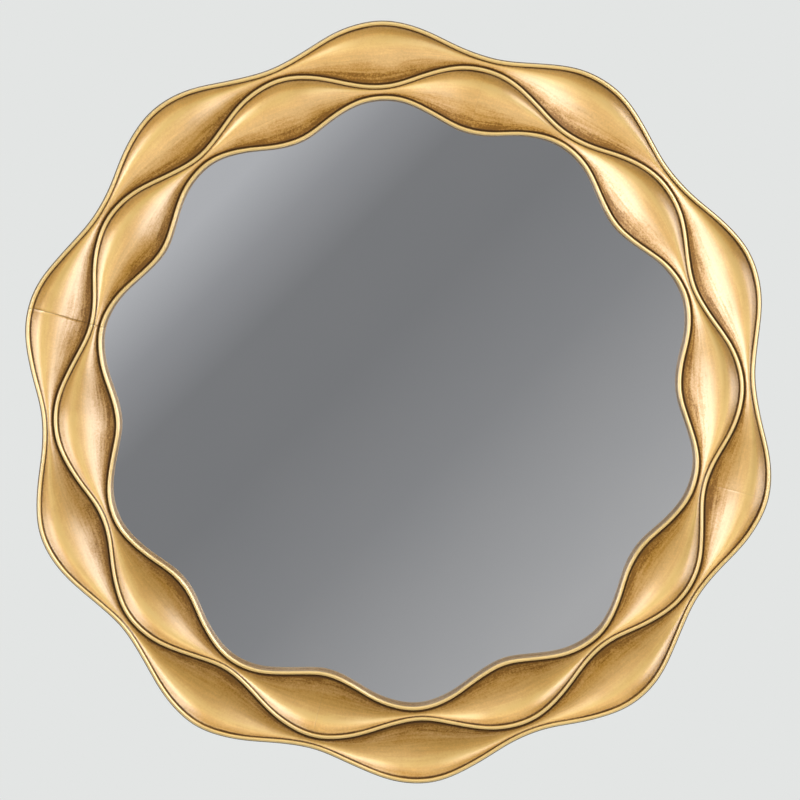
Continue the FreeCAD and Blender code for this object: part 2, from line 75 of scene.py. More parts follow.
# Places along Y
FRAME_BACK = -7.0
GLASS_FRONT = -17.5
BACK_HEIGHT = GLASS_FRONT - FRAME_BACK
REBATE = 367.8
QUARTERS = ("upper_left", "lower_left", "lower_right", "upper_right")
FIRST_JOINT = TOP_LOBE - math.pi / LOBES


# Small helpers

def new_object(name, data):
    piece = bpy.data.objects.new(name, data)
    bpy.context.scene.collection.objects.link(piece)
    return piece


def smooth(mesh, sharp_degrees):
    mesh.polygons.foreach_set("use_smooth", np.ones(len(mesh.polygons), bool))
    mesh.set_sharp_from_angle(angle=math.radians(sharp_degrees))


def turn_outward(mesh):
    shell = bmesh.new()
    shell.from_mesh(mesh)
    bmesh.ops.recalc_face_normals(shell, faces=shell.faces)
    shell.to_mesh(mesh)
    shell.free()


def store_shade(mesh, name, values):
    """Keeps one value for each point of a mesh."""
    shade = mesh.attributes.new(name, "FLOAT", "POINT")
    shade.data.foreach_set("value", values.astype(np.float32).ravel())


def store_uv(mesh, name, across, up):
    """Keeps a place on a flat sheet for each point of a mesh."""
    corner = np.zeros(len(mesh.loops), np.int32)
    mesh.loops.foreach_get("vertex_index", corner)
    places = np.stack((across, up), -1).reshape(-1, 2)[corner]
    mesh.uv_layers.new(name=name).data.foreach_set("uv", places.astype(np.float32).ravel())


def finish_piece(piece, body, slot, material, *nodes):
    piece.data.materials.append(material)
    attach(piece, body)
    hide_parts(*nodes)


# The carved ring

ARC_STEPS = 9
COVE_STEPS = 17
WALL_STEPS = 5
COLUMNS = 300
CARVED_SHARP = 35
MEAN_RADIUS = 390.0
RIM_START = 0.2
SIGHT_START = 0.15

# Unevenness of hand work: waves round the ring with their sizes, and where they start on each bead
HAND_WAVES = ((13, 0.20), (29, 0.14), (47, 0.10))
HAND_STARTS = (0.4, 1.9, 3.3)

# How dark the glaze and the painted shade are and how matt the outer corner, up to 1, with the beads
# painted lighter than the rest as a painted highlight
BEAD_PAINTED_HIGHLIGHT = -0.2
CORNER_GLAZE_AND_SHADE = 0.5
OUTER_GLAZE_AND_SHADE = 0.52
OUTER_MATT = 0.6
RIM_GLAZE = 0.6
SIGHT_GLAZE = 0.3
SIGHT_SHADE_RISE = 0.5
REBATE_GLAZE = 0.9

# How far the glaze reaches from the inner side, as a share of the hollow's width, and how far the glaze and
# painted shade in the outer corner reach, in millimetres where the hollow is widest
GLAZE_REACH = 0.75
OUTER_FADE = 9.0

# How dark the lines of brown glaze and painted shade are, up to 1, and how they fade: by a power on a bead,
# by millimetres in a hollow
BEAD_LINE = 0.9
LAST_BEAD_LINE = 0.6
WALL_LINE = 0.8
RIM_LINE = 0.9
SIGHT_SHADE_LINE = 0.55
LINE_RISE = 5.0
LINE_FADE = 0.95

# Where each stretch of the moulding starts in the flow, which is a length across it in metres
RIM_FLOW = 0.004
RIM_FLOW_LENGTH = 0.022
OUTER_BEAD_FLOW = 0.032
OUTER_COVE_FLOW = 0.036
MIDDLE_BEAD_FLOW = 0.100
INNER_COVE_FLOW = 0.104
INNER_BEAD_FLOW = 0.168
BEAD_FLOW_HALF = 0.003
COVE_FLOW_LENGTH = 0.06
SIGHT_FLOW = 0.172
SIGHT_FLOW_LENGTH = 0.018
REBATE_FLOW = 0.19
FLOW_STEP = 0.001

# The eased edge at the back: how far in, how high, and how bare of paint
BACK_EASE = ((1.2, 0.0, 1.0), (0.4, 0.2, 0.7), (0.0, 1.0, 0.3))
LIP_EASE = 1.0
REBATE_EASE = 0.6

# The glued joints: how clearly each shows, how far it has opened in millimetres, and from which height
JOINT_STRENGTH = (0.12, 1.0, 0.22, 0.16)
JOINT_BEVEL = 0.45
JOINT_DEPTH = 0.28
JOINT_FOOT = 1.0


def hand(angle, start):
    """Small unevenness of a bead round the ring, in millimetres."""
    waves = enumerate(HAND_WAVES)
    return sum(size * np.sin(count * angle + start * (1 + index)) for index, (count, size) in waves)


def ring_radii(angle):
    """Radii of the outer, the middle and the inner bead."""
    swing = np.cos(LOBES * (angle - TOP_LOBE))
    second = WAVE_FLATTENING * np.cos(2 * LOBES * (angle - TOP_LOBE))
    outer = OUTER_BEAD + OUTER_WAVE * swing
    middle = MIDDLE_BEAD - MIDDLE_WAVE * swing - second
    inner = INNER_BEAD + INNER_WAVE * swing - second
    return [radius + hand(angle, start) for radius, start in zip((outer, middle, inner), HAND_STARTS)]


class Section:
    """The moulding's section at many angles at once: one row of values for each spot of the outline.

    The flow is a length across the moulding. The glaze, shade and highlight value is the soft brown glaze
    in the hollows, with painted shade in the outer corners and on the sight's wall and a painted highlight
    on the beads; line is the dark brown beside the beads and in the corners, partly glaze and partly
    painted shade; bare is the wood without paint, and matt what was left unpolished.
    """

    def __init__(self, columns):
        self.columns = columns
        self.rows = []

    def add(self, radius, height, flow, glaze_shade_and_highlight=0.0, line=0.0, bare=0.0, matt=0.0):
        values = (radius, height, flow, glaze_shade_and_highlight, line, bare, matt)
        self.rows.append([np.broadcast_to(np.asarray(value, float), self.columns) for value in values])

    def array(self):
        """Spots by values by columns."""
        return np.array(self.rows)


def arc(level, end, share):
    """A spot on the arc that leaves one point level and rises or falls to an end."""
    run = end[0] - level[0]
    rise = end[1] - level[1]
    radius = (run * run + rise * rise) / (2 * np.abs(rise))
    turn = 2 * np.arctan(np.abs(rise) / np.abs(run)) * share
    across = level[0] + np.sign(run) * radius * np.sin(turn)
    return across, level[1] + np.sign(rise) * radius * (1 - np.cos(turn))


def add_bead(section, radius, top, flow, inner_line):
    foot = top - BEAD_HEIGHT
    crest = (radius, top)
    for share in np.linspace(-1, 1, 2 * ARC_STEPS + 1):
        end = (radius - math.copysign(BEAD_HALF, share), foot)
        # Dark lines at the bead's feet, partly glaze and partly painted shade
        line = 1.0 if share < 0 else inner_line
        spot = arc(crest, end, abs(share))
        # The bead is painted paler than the rest as a painted highlight
        section.add(*spot, flow + BEAD_FLOW_HALF * share, BEAD_PAINTED_HIGHLIGHT, line * abs(share) ** LINE_RISE)


def add_cove(section, outer, inner, widest, flow):
    """The hollow between two beads, from the wall under the outer one to the quirk beside the inner one."""
    foot = inner[1] - BEAD_HEIGHT
    edge = (inner[0] + COVE_SIDE, foot)
    wall = outer[0] - QUIRK_SIDE
    width = wall - edge[0]
    share = width / widest
    floor = outer[1] - BEAD_HEIGHT - COVE_DEPTH * share
    corner = (wall, floor + COVE_DEPTH * share * (1 - COVE_WALL_SHARE))
    lowest = (edge[0] + COVE_LOW_SHARE * width, floor)
    bead_foot = (outer[0] - BEAD_HALF, outer[1] - BEAD_HEIGHT)
    # The wall under the outer bead, painted dark in glaze and painted shade
    section.add((bead_foot[0] + wall) / 2, (bead_foot[1] + corner[1]) / 2, flow, CORNER_GLAZE_AND_SHADE, 1.0)
    close_in = 1 - np.linspace(1, 0, COVE_STEPS) ** 2
    spots = [arc(lowest, corner, near) for near in close_in[::-1]]
    spots += [arc(lowest, edge, near) for near in close_in[1:]]
    for radius, height in spots:
        from_inner = np.maximum(radius - edge[0], 0)
        from_outer = np.maximum(wall - radius, 0)
        # Painted shade in the corner under the outer bead, added to the glaze and to the matt
        corner_shade = np.exp(-(from_outer / (OUTER_FADE * share)) ** 3)
        glaze_shade_and_highlight = np.maximum(1 - from_inner / (GLAZE_REACH * width), 0) + OUTER_GLAZE_AND_SHADE * corner_shade
        # Dark lines of glaze and painted shade beside the inner quirk and in the corner at the wall
        line = np.exp(-(from_inner / LINE_FADE) ** 2) + WALL_LINE * np.exp(-(from_outer / LINE_FADE) ** 2)
        across = flow + COVE_FLOW_LENGTH * from_outer / width
        shades = (np.minimum(glaze_shade_and_highlight, 1), np.minimum(line, 1), 0, OUTER_MATT * corner_shade)
        section.add(radius, height, across, *shades)
    quirk_flow = flow + COVE_FLOW_LENGTH + FLOW_STEP
    # The quirk beside the inner bead, painted darkest in glaze and painted shade
    section.add(inner[0] + QUIRK_SIDE, foot - QUIRK_DEPTH, quirk_flow, 1.0, 1.0)


def ring_section(angle):
    outer, middle, inner = zip(ring_radii(angle), (OUTER_TOP, MIDDLE_TOP, INNER_TOP))
    rim = outer[0] + BEAD_HALF + RIM_STEP
    rim_top = OUTER_TOP - BEAD_HEIGHT - RIM_DROP
    sight = inner[0] - BEAD_HALF
    section = Section(len(angle))
    for step, (inward, rise, bare) in enumerate(BACK_EASE):
        section.add(rim - inward, BACK_HEIGHT + rise, step * FLOW_STEP, RIM_GLAZE, 0, bare, 1)
    # The outer side, with the glaze growing towards its top and a dark line of glaze and painted shade at
    # its top
    for share in np.linspace(RIM_START, 1, WALL_STEPS):
        height = BACK_HEIGHT + (rim_top - BACK_HEIGHT) * share
        across = RIM_FLOW + RIM_FLOW_LENGTH * share
        section.add(rim, height, across, RIM_GLAZE * (1 + share) / 2, RIM_LINE * share ** LINE_RISE, matt=1)
    add_bead(section, *outer, OUTER_BEAD_FLOW, BEAD_LINE)
    add_cove(section, outer, middle, OUTER_COVE, OUTER_COVE_FLOW)
    add_bead(section, *middle, MIDDLE_BEAD_FLOW, BEAD_LINE)
    add_cove(section, middle, inner, INNER_COVE, INNER_COVE_FLOW)
    add_bead(section, *inner, INNER_BEAD_FLOW, LAST_BEAD_LINE)
    # The sight's wall, painted darker towards the glass in painted shade
    for share in np.linspace(SIGHT_START, 1, WALL_STEPS):
        height = (INNER_TOP - BEAD_HEIGHT) * (1 - share)
        across = SIGHT_FLOW + SIGHT_FLOW_LENGTH * share
        section.add(sight, height, across, SIGHT_GLAZE + SIGHT_SHADE_RISE * share, SIGHT_SHADE_LINE)
    # Radius, height, and steps of the flow
    rebate = (
        (sight + LIP_EASE, 0, 1),
        (REBATE, 0, 10),
        (REBATE, BACK_HEIGHT + REBATE_EASE, 20),
        (REBATE + REBATE_EASE, BACK_HEIGHT, 21),
    )
    for radius, height, steps in rebate:
        section.add(radius, height, REBATE_FLOW + steps * FLOW_STEP, REBATE_GLAZE, 0, 1)
    return section.array()


def quarter_angles(index):
    start = FIRST_JOINT + index * TURN / len(QUARTERS)
    end = start + TURN / len(QUARTERS)
    bevel = JOINT_BEVEL / MEAN_RADIUS
    return np.concatenate(([start], np.linspace(start + bevel, end - bevel, COLUMNS), [end]))


def strip_faces(columns, spots):
    """Faces between closed sections that follow each other, and one at each end."""
    grid = np.arange(columns * spots).reshape(columns, spots)
    here = grid[:-1]
    ahead = grid[1:]
    quads = np.stack((here, np.roll(here, -1, 1), np.roll(ahead, -1, 1), ahead), -1).reshape(-1, 4)
    return [*quads.tolist(), grid[0, ::-1].tolist(), grid[-1].tolist()]


def make_quarter(index, material):
    angle = quarter_angles(index)
    rows = ring_section(angle)
    spots, _, columns = rows.shape
    radius, height, flow, glaze_shade_and_highlight, line, bare, matt = rows.transpose(1, 2, 0)
    seam = np.zeros_like(height)
    for column, joint in ((0, index), (-1, (index + 1) % len(QUARTERS))):
        seam[column] = JOINT_STRENGTH[joint]
        height[column] -= JOINT_DEPTH * seam[column] * (height[column] > JOINT_FOOT)
    turn = angle[:, None]
    points = np.stack((radius * np.cos(turn), GLASS_FRONT - height, radius * np.sin(turn)), -1) * MM

    mesh = bpy.data.meshes.new("frame_" + QUARTERS[index])
    mesh.from_pydata(points.reshape(-1, 3).tolist(), [], strip_faces(columns, spots))
    turn_outward(mesh)
    shades = (("glaze_shade_and_highlight", glaze_shade_and_highlight), ("line", line), ("bare", bare), ("matt", matt), ("seam", seam))
    for name, values in shades:
        store_shade(mesh, name, values)
    store_uv(mesh, "flow", np.broadcast_to(turn * MEAN_RADIUS * MM, flow.shape), flow)
    middle = FIRST_JOINT + (index + 0.5) * TURN / len(QUARTERS)
    chord = points[..., 0] * -math.sin(middle) + points[..., 2] * math.cos(middle)
    across = points[..., 0] * math.cos(middle) + points[..., 2] * math.sin(middle)
    store_uv(mesh, "plank", chord, across)
    smooth(mesh, CARVED_SHARP)
    piece = new_object("carved_quarter_" + QUARTERS[index], mesh)
    finish_piece(piece, "mirror", "gilded_wood", material, "frame_quarter_" + QUARTERS[index])


# Materials

class Paint:
    """A material's nodes. Each call adds one node and gives its output."""

    def __init__(self, name, **values):
        self.material = bpy.data.materials.new(name)
        self.material.use_nodes = True
        self.tree = self.material.node_tree
        self.shader = self.tree.nodes["Principled BSDF"]
        self.set(**values)

    def set(self, **values):
        for name, value in values.items():
            self.put(self.shader.inputs[name.replace("_", " ").title().replace("Ior", "IOR")], value)

    def put(self, socket, value):
        if isinstance(value, bpy.types.NodeSocket):
            self.tree.links.new(value, socket)
        else:
            socket.default_value = value

    def node(self, kind, output, inputs, **settings):
        node = self.tree.nodes.new("ShaderNode" + kind)
        for name, value in settings.items():
            setattr(node, name, value)
        for name, value in inputs.items():
            self.put(node.inputs[name], value)
        return node.outputs[output]

    def uv(self, name):
        return self.node("UVMap", "UV", {}, uv_map=name)

    def place(self):
        return self.node("TexCoord", "Object", {})

    def attribute(self, name):
        return self.node("Attribute", "Fac", {}, attribute_name=name)

    def scaled(self, vector, *factors):
        return self.node("VectorMath", "Vector", {0: vector, 1: factors}, operation="MULTIPLY")

    def noise(self, vector, scale, detail=3.0, roughness=0.55, distortion=0.0):
        inputs = dict(Vector=vector, Scale=scale, Detail=detail, Roughness=roughness, Distortion=distortion)
        return self.node("TexNoise", "Fac", inputs)

    def math(self, operation, first, second=0.0):
        return self.node("Math", "Value", {0: first, 1: second}, operation=operation)

    def span(self, value, low, high, new_low=0.0, new_high=1.0):
        inputs = {"Value": value, "From Min": low, "From Max": high, "To Min": new_low, "To Max": new_high}
        return self.node("MapRange", "Result", inputs)

    def vary(self, noise, low, high):
        """A value that follows a noise over the range where the noise mostly lies."""
        return self.span(noise, 0.3, 0.7, low, high)

    def mix(self, share, first, second):
        inputs = {"Factor": share, 6: first, 7: second}
        return self.node("Mix", 2, inputs, data_type="RGBA")

    def blend(self, share, first, second):
        return self.node("Mix", 0, {"Factor": share, 2: first, 3: second})

    def ramp(self, value, *stops):
        output = self.node("ValToRGB", "Color", {"Fac": value})
        elements = output.node.color_ramp.elements
        while len(elements) < len(stops):
            elements.new(1.0)
        for element, (position, colour) in zip(elements, stops):
            element.position = position
            element.color = colour
        return output

    def bump(self, height, distance):
        return self.node("Bump", "Normal", {"Height": height, "Distance": distance, "Strength": 1.0})


def srgb(red, green, blue):
    """A colour as it looks on screen, from 0 to 255, as the shader takes it."""
    def linear(value):
        value /= 255
        return value / 12.92 if value <= 0.04045 else ((value + 0.055) / 1.055) ** 2.4
    return linear(red), linear(green), linear(blue), 1.0


def wood_grain(paint, vector, light, dark):
    """Straight grain with its pores. The vector runs along the grain in x."""
    fibres = paint.noise(paint.scaled(vector, 6, 190, 6), 1.0, detail=5, roughness=0.6, distortion=0.4)
    pores = paint.noise(paint.scaled(vector, 40, 900, 40), 1.0, detail=2)
    tone = paint.math("ADD", paint.math("MULTIPLY", fibres, 0.75), paint.math("MULTIPLY", pores, 0.35))
    return paint.ramp(tone, (0.32, dark), (0.68, light))


def gilded_wood():
    paint = Paint("gilded_wood")
    flow = paint.uv("flow")
    place = paint.place()
    strokes = paint.noise(paint.scaled(flow, 22, 260, 1), 1.0, detail=3, roughness=0.55, distortion=0.5)
    hairs = paint.noise(paint.scaled(flow, 60, 1300, 1), 1.0, detail=3, roughness=0.6)
    clouds = paint.noise(place, 30, detail=3, roughness=0.55)
    specks = paint.noise(place, 420, detail=3, roughness=0.7)

    # Brown glaze that was wiped out of the hollows along the strokes of the brush, together with painted
    # shade in the corners and on the sight's wall and the beads' painted highlight
    glaze_shade_and_highlight = paint.attribute("glaze_shade_and_highlight")
    rubbed = paint.math("ADD", paint.vary(strokes, -0.13, 0.13), paint.vary(specks, -0.13, 0.13))
    rubbed = paint.math("MULTIPLY", rubbed, paint.span(glaze_shade_and_highlight, 0.0, 0.45, 0.4, 1.0))
    drift = paint.math("ADD", paint.vary(clouds, -0.07, 0.07), rubbed)
    glaze_shade_and_highlight = paint.math("ADD", glaze_shade_and_highlight, drift)
    # The ramp starts at the beads' painted highlight and ends in the brown of the glaze and the painted
    # shade
    gold = paint.ramp(
        paint.span(glaze_shade_and_highlight, BEAD_PAINTED_HIGHLIGHT, 1.0),
        (0.0, srgb(239, 202, 118)),
        (0.17, srgb(241, 199, 108)),
        (0.33, srgb(224, 174, 85)),
        (0.5, srgb(205, 158, 74)),
        (0.67, srgb(192, 143, 59)),
        (0.83, srgb(172, 124, 33)),
        (0.92, srgb(138, 93, 15)),
        (1.0, srgb(123, 81, 10)),
    )

    # Dark lines beside the beads, in the quirks and corners and on the sight's wall, partly brown glaze and
    # partly painted shade, and at the open joint, worn through here and there
    worn = paint.math("ADD", paint.vary(strokes, -0.16, 0.12), paint.vary(specks, -0.14, 0.1))
    line = paint.span(paint.math("ADD", paint.attribute("line"), worn), 0.2, 0.9)
    gold = paint.mix(line, gold, srgb(74, 48, 17))
    gold = paint.mix(paint.math("MULTIPLY", paint.attribute("seam"), 0.8), gold, srgb(70, 46, 20))

    # Bare wood at the back, and less shine wherever the gold is covered
    wood = wood_grain(paint, paint.uv("plank"), srgb(214, 178, 130), srgb(172, 130, 84))
    bare = paint.math("ADD", paint.attribute("bare"), paint.vary(clouds, -0.2, 0.2))
    bare = paint.span(bare, 0.45, 0.55)
    covered = paint.math("MAXIMUM", paint.span(glaze_shade_and_highlight, 0.0, 1.0, 0.0, 0.35), line)
    covered = paint.math("MAXIMUM", covered, paint.attribute("matt"))
    shine = paint.math("MULTIPLY", paint.math("SUBTRACT", 1.0, covered), paint.math("SUBTRACT", 1.0, bare))
    rough = paint.math("ADD", paint.blend(covered, 0.36, 0.6), paint.vary(hairs, -0.04, 0.04))
    paint.set(
        base_color=paint.mix(bare, gold, wood),
        metallic=paint.math("MULTIPLY", shine, 0.25),
        roughness=paint.blend(bare, rough, 0.7),
        coat_weight=paint.math("MULTIPLY", shine, paint.span(glaze_shade_and_highlight, 0.45, 0.93, 1.0, 0.1)),
        coat_roughness=0.28,
        coat_ior=2.3,
        specular_ior_level=0.3,
        normal=paint.bump(hairs, 0.00003),
    )
    return paint.material


def silvered_glass():
    paint = Paint("silvered_glass", metallic=1.0)
    place = paint.place()
    haze = paint.noise(place, 7, detail=3)
    paint.set(
        base_color=paint.ramp(haze, (0.3, (0.86, 0.87, 0.88, 1)), (0.7, (0.88, 0.885, 0.89, 1))),
        roughness=paint.vary(haze, 0.012, 0.03),
    )
    return paint.material


def zinc_steel():
    paint = Paint("zinc_steel", metallic=1.0)
    place = paint.place()
    spangle = paint.noise(place, 260, detail=3, roughness=0.6)
    drawn = paint.noise(paint.scaled(place, 900, 900, 60), 1.0, detail=2)
    dull = paint.noise(place, 60, detail=4, roughness=0.65)
    paint.set(
        base_color=paint.ramp(
            dull, (0.3, srgb(176, 178, 178)), (0.52, srgb(204, 206, 207)), (0.72, srgb(214, 212, 204))
        ),
        roughness=paint.math("ADD", paint.vary(spangle, 0.26, 0.44), paint.span(dull, 0.4, 0.7, 0.0, 0.08)),
        normal=paint.bump(drawn, 0.00002),
    )
    return paint.material


def brass():
    paint = Paint("brass", metallic=1.0)
    place = paint.place()
    tarnish = paint.noise(place, 90, detail=5, roughness=0.65)
    scuffs = paint.noise(paint.scaled(place, 700, 120, 120), 1.0, detail=3, roughness=0.6)
    paint.set(
        base_color=paint.ramp(
            tarnish, (0.34, srgb(168, 126, 64)), (0.5, srgb(214, 174, 100)), (0.7, srgb(228, 192, 122))
        ),
        roughness=paint.math("ADD", paint.vary(tarnish, 0.42, 0.24), paint.vary(scuffs, -0.04, 0.06)),
        normal=paint.bump(scuffs, 0.00002),
    )
    return paint.material


def plywood():
    """Rotary-cut veneer, whose growth rings run in long wavering bands."""
    paint = Paint("plywood", specular_ior_level=0.25)
    place = paint.place()
    bands = paint.noise(paint.scaled(place, 26, 26, 1.3), 1.0, detail=3, roughness=0.45, distortion=0.5)
    rings = paint.math("FRACT", paint.math("MULTIPLY", bands, 8.0))
    pores = paint.noise(paint.scaled(place, 900, 900, 45), 1.0, detail=2)
    tone = paint.math("ADD", paint.span(rings, 0.0, 1.0, 0.2, 0.75), paint.vary(pores, -0.2, 0.2))
    stains = paint.noise(place, 5, detail=3)
    veneer = paint.ramp(
        tone, (0.1, srgb(180, 142, 96)), (0.5, srgb(206, 170, 122)), (0.9, srgb(220, 188, 142))
    )
    paint.set(
        base_color=paint.mix(paint.span(stains, 0.5, 0.8, 0.0, 0.35), veneer, srgb(176, 138, 92)),
        roughness=paint.span(tone, 0.1, 0.9, 0.72, 0.6),
        normal=paint.bump(pores, 0.00006),
    )
    return paint.material


def beech():
    paint = Paint("beech", roughness=0.55)
    place = paint.place()
    flecks = paint.noise(paint.scaled(place, 300, 900, 300), 1.0, detail=2)
    wood = wood_grain(paint, place, srgb(222, 190, 150), srgb(196, 156, 112))
    paint.set(base_color=paint.mix(paint.span(flecks, 0.58, 0.66, 0.0, 0.5), wood, srgb(168, 124, 84)))
    return paint.material


def grey_card():
    paint = Paint("grey_card", roughness=0.85)
    fibres = paint.noise(paint.place(), 900, detail=4, roughness=0.7)
    paint.set(
        base_color=paint.ramp(
            fibres, (0.3, srgb(164, 160, 154)), (0.5, srgb(188, 184, 178)), (0.7, srgb(198, 195, 190))
        ),
        normal=paint.bump(fibres, 0.00005),
    )
    return paint.material


def bumper_rubber():
    paint = Paint("bumper_rubber", specular_ior_level=0.35)
    place = paint.place()
    grain = paint.noise(place, 1400, detail=3, roughness=0.6)
    dust = paint.noise(place, 160, detail=4, roughness=0.6)
    paint.set(
        base_color=paint.ramp(
            dust, (0.4, srgb(36, 36, 36)), (0.62, srgb(50, 49, 48)), (0.8, srgb(92, 88, 82))
        ),
        roughness=paint.vary(dust, 0.52, 0.78),
        normal=paint.bump(grain, 0.00005),
    )
    return paint.material


def dress(material, *names):
    """Puts a material on pieces that are shown as their solids are."""
    for name in names:
        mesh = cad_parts[name].data
        mesh.materials.clear()
        mesh.materials.append(material)


# Wood screws with domed, slotted heads

# Sizes in millimetres and turns in radians, with the seats' heights counted from the frame's back
HEAD_HEIGHT = 1.9
HEAD_EDGE = 0.7
SLOT_HALF = 0.5
SLOT_DEPTH = 1.0
SCREW_POINT = 3.0
HEAD_LINES = 9
HEAD_ROWS = 21
SHANK_SIDES = 24
SCREW_SHARP = 32
SLOT_START = 0.5
SLOT_TURN = 2.4
LAST_LEAN = math.radians(84)
BUTTON_SCREWS = dict(seat=2.1, head=3.6, shank=1.75, grip=10.0)
HANGER_SCREWS = dict(seat=2.0, head=3.9, shank=2.0, grip=12.0)
BUTTON_COUNT = 8
BUTTON_RADIUS = REBATE + 12.0
BUTTON_ANGLE = math.radians(22.5)
HANGER_RADIUS = REBATE + 48.0
HANGER_ANGLE = math.radians(54)
HANGER_ROWS = (12.0, 28.0)


def head_lines(head):
    """Lines across a head beside its slot: how far each lies from the middle, and whether it is sunk."""
    lean = np.linspace(math.asin(SLOT_HALF / head), LAST_LEAN, HEAD_LINES)
    side = [(head * math.sin(angle), False) for angle in lean]
    left = [(-aside, sunk) for aside, sunk in reversed(side)]
    return [*left, (-SLOT_HALF, True), (SLOT_HALF, True), *side]


def head_points(head, seat):
    grid = []
    for aside, sunk in head_lines(head):
        run = math.sqrt(head * head - aside * aside) * np.linspace(-1, 1, HEAD_ROWS)
        fall = (aside * aside + run * run) / (head * head)
        dome = HEAD_EDGE + (HEAD_HEIGHT - HEAD_EDGE) * (1 - fall)
        if sunk:
            dome = np.minimum(dome, HEAD_HEIGHT - SLOT_DEPTH)
        grid.append(np.stack((np.full(HEAD_ROWS, aside), run, seat + dome), -1))
    return np.array(grid)


def add_screw(shell, spot, turn, seat, head, shank, grip):
    """Adds one screw to a mesh. Its heights count from the frame's back, towards the wall."""
    def vertex(across, up, height):
        aside = across * math.cos(turn) - up * math.sin(turn)
        rise = across * math.sin(turn) + up * math.cos(turn)
        return shell.verts.new(((spot[0] + aside) * MM, (FRAME_BACK + height) * MM, (spot[1] + rise) * MM))

    top = [[vertex(*point) for point in line] for line in head_points(head, seat)]
    for here, ahead in zip(top[:-1], top[1:]):
        for row in range(HEAD_ROWS - 1):
            shell.faces.new((here[row], here[row + 1], ahead[row + 1], ahead[row]))
    far_side = [line[-1] for line in top[1:-1]]
    near_side = [line[0] for line in top[-2:0:-1]]
    edge = [*top[0], *far_side, *reversed(top[-1]), *near_side]
    foot = [shell.verts.new((point.co.x, (FRAME_BACK + seat) * MM, point.co.z)) for point in edge]
    for index, point in enumerate(edge):
        shell.faces.new((edge[index - 1], point, foot[index], foot[index - 1]))
    shell.faces.new(foot)

    corners = [TURN * side / SHANK_SIDES for side in range(SHANK_SIDES)]
    ring = [(shank * math.cos(angle), shank * math.sin(angle)) for angle in corners]
    upper = [vertex(*point, seat) for point in ring]
    lower = [vertex(*point, SCREW_POINT - grip) for point in ring]
    tip = vertex(0, 0, -grip)
    for index in range(SHANK_SIDES):
        shell.faces.new((upper[index - 1], upper[index], lower[index], lower[index - 1]))
        shell.faces.new((lower[index - 1], lower[index], tip))
    shell.faces.new(upper)


def make_screws(name, spots, sizes, material, node):
    shell = bmesh.new()
    for index, spot in enumerate(spots):
        add_screw(shell, spot, SLOT_START + SLOT_TURN * index, **sizes)
    bmesh.ops.recalc_face_normals(shell, faces=shell.faces)
    mesh = bpy.data.meshes.new(name)
    shell.to_mesh(mesh)
    shell.free()
    smooth(mesh, SCREW_SHARP)
    finish_piece(new_object(name, mesh), "mirror", "zinc_steel", material, node)


def round_spots(radius, angles):
    return [(radius * math.cos(angle), radius * math.sin(angle)) for angle in angles]


# Stage, light and camera

# Lengths in metres, angles in degrees, lens and sensor in millimetres, light as the shader takes it
BACKGROUND = srgb(227, 229, 228)
CAMERA_DISTANCE = 3.4
CAMERA_HEIGHT = 0.18
CAMERA_SIDE = 0.00162
CAMERA_TILT = 2.156
CAMERA_LENS = 130.36
CAMERA_SENSOR = 36
CAMERA_SHIFT = -0.05
FLOOR_LEVEL = -1.8
FLOOR_HALF = 1.3
FLOOR_FADE = 0.65
CARD_DISTANCE = 5.0
CARD_HALF = 6.0
CARD_FADE_STARTS = 1.3
CARD_FADE_ENDS = 2.4
# About half the glass's extent along the slant that the card's greys follow
GLASS_SLANT = 0.45
# Light from before and from behind the mirror, and the Y of a direction where it changes
LIGHT_BEFORE = 0.01
LIGHT_BEHIND = 0.8
LIGHT_STARTS = 0.1
LIGHT_FULL = 0.6
WHITE = (1.0, 1.0, 1.0)
WARM = (1.0, 0.9, 0.7)


def make_world():
    """A pale background for what is seen, and soft light that comes mostly from behind the mirror."""
    world = bpy.data.worlds.new("studio")
    bpy.context.scene.world = world
    world.use_nodes = True
    tree = world.node_tree
    tree.nodes.clear()

    def node(kind, **settings):
        made = tree.nodes.new("ShaderNode" + kind)
        for name, value in settings.items():
            setattr(made, name, value)
        return made

    def larger(first, second):
        made = node("Math", operation="MAXIMUM")
        tree.links.new(first, made.inputs[0])
        tree.links.new(second, made.inputs[1])
        return made.outputs[0]

    direction = node("SeparateXYZ")
    tree.links.new(node("TexCoord").outputs["Generated"], direction.inputs[0])
    strength = node("MapRange")
    tree.links.new(direction.outputs["Y"], strength.inputs["Value"])
    strength.inputs["From Min"].default_value = LIGHT_STARTS
    strength.inputs["From Max"].default_value = LIGHT_FULL
    strength.inputs["To Min"].default_value = LIGHT_BEFORE
    strength.inputs["To Max"].default_value = LIGHT_BEHIND
    light = node("Background")
    tree.links.new(strength.outputs["Result"], light.inputs["Strength"])
    light.inputs["Color"].default_value = (*WHITE, 1.0)
    seen = node("Background")
    seen.inputs["Color"].default_value = BACKGROUND

    rays = node("LightPath").outputs
    share = larger(larger(rays["Is Camera Ray"], rays["Is Glossy Ray"]), rays["Is Transmission Ray"])
    mix = node("MixShader")
    output = node("OutputWorld")
    tree.links.new(share, mix.inputs[0])
    tree.links.new(light.outputs[0], mix.inputs[1])
    tree.links.new(seen.outputs[0], mix.inputs[2])
    tree.links.new(mix.outputs[0], output.inputs["Surface"])


def make_sheet(name, half, spot, upright):
    """A flat square of the stage, lying or standing."""
    mesh = bpy.data.meshes.new(name)
    corners = ((-half, -half), (half, -half), (half, half), (-half, half))
    points = [(across, 0, up) if upright else (across, up, 0) for across, up in corners]
    mesh.from_pydata(points, [], [(0, 1, 2, 3)])
    piece = new_object(name, mesh)
    piece.location = spot
    return piece


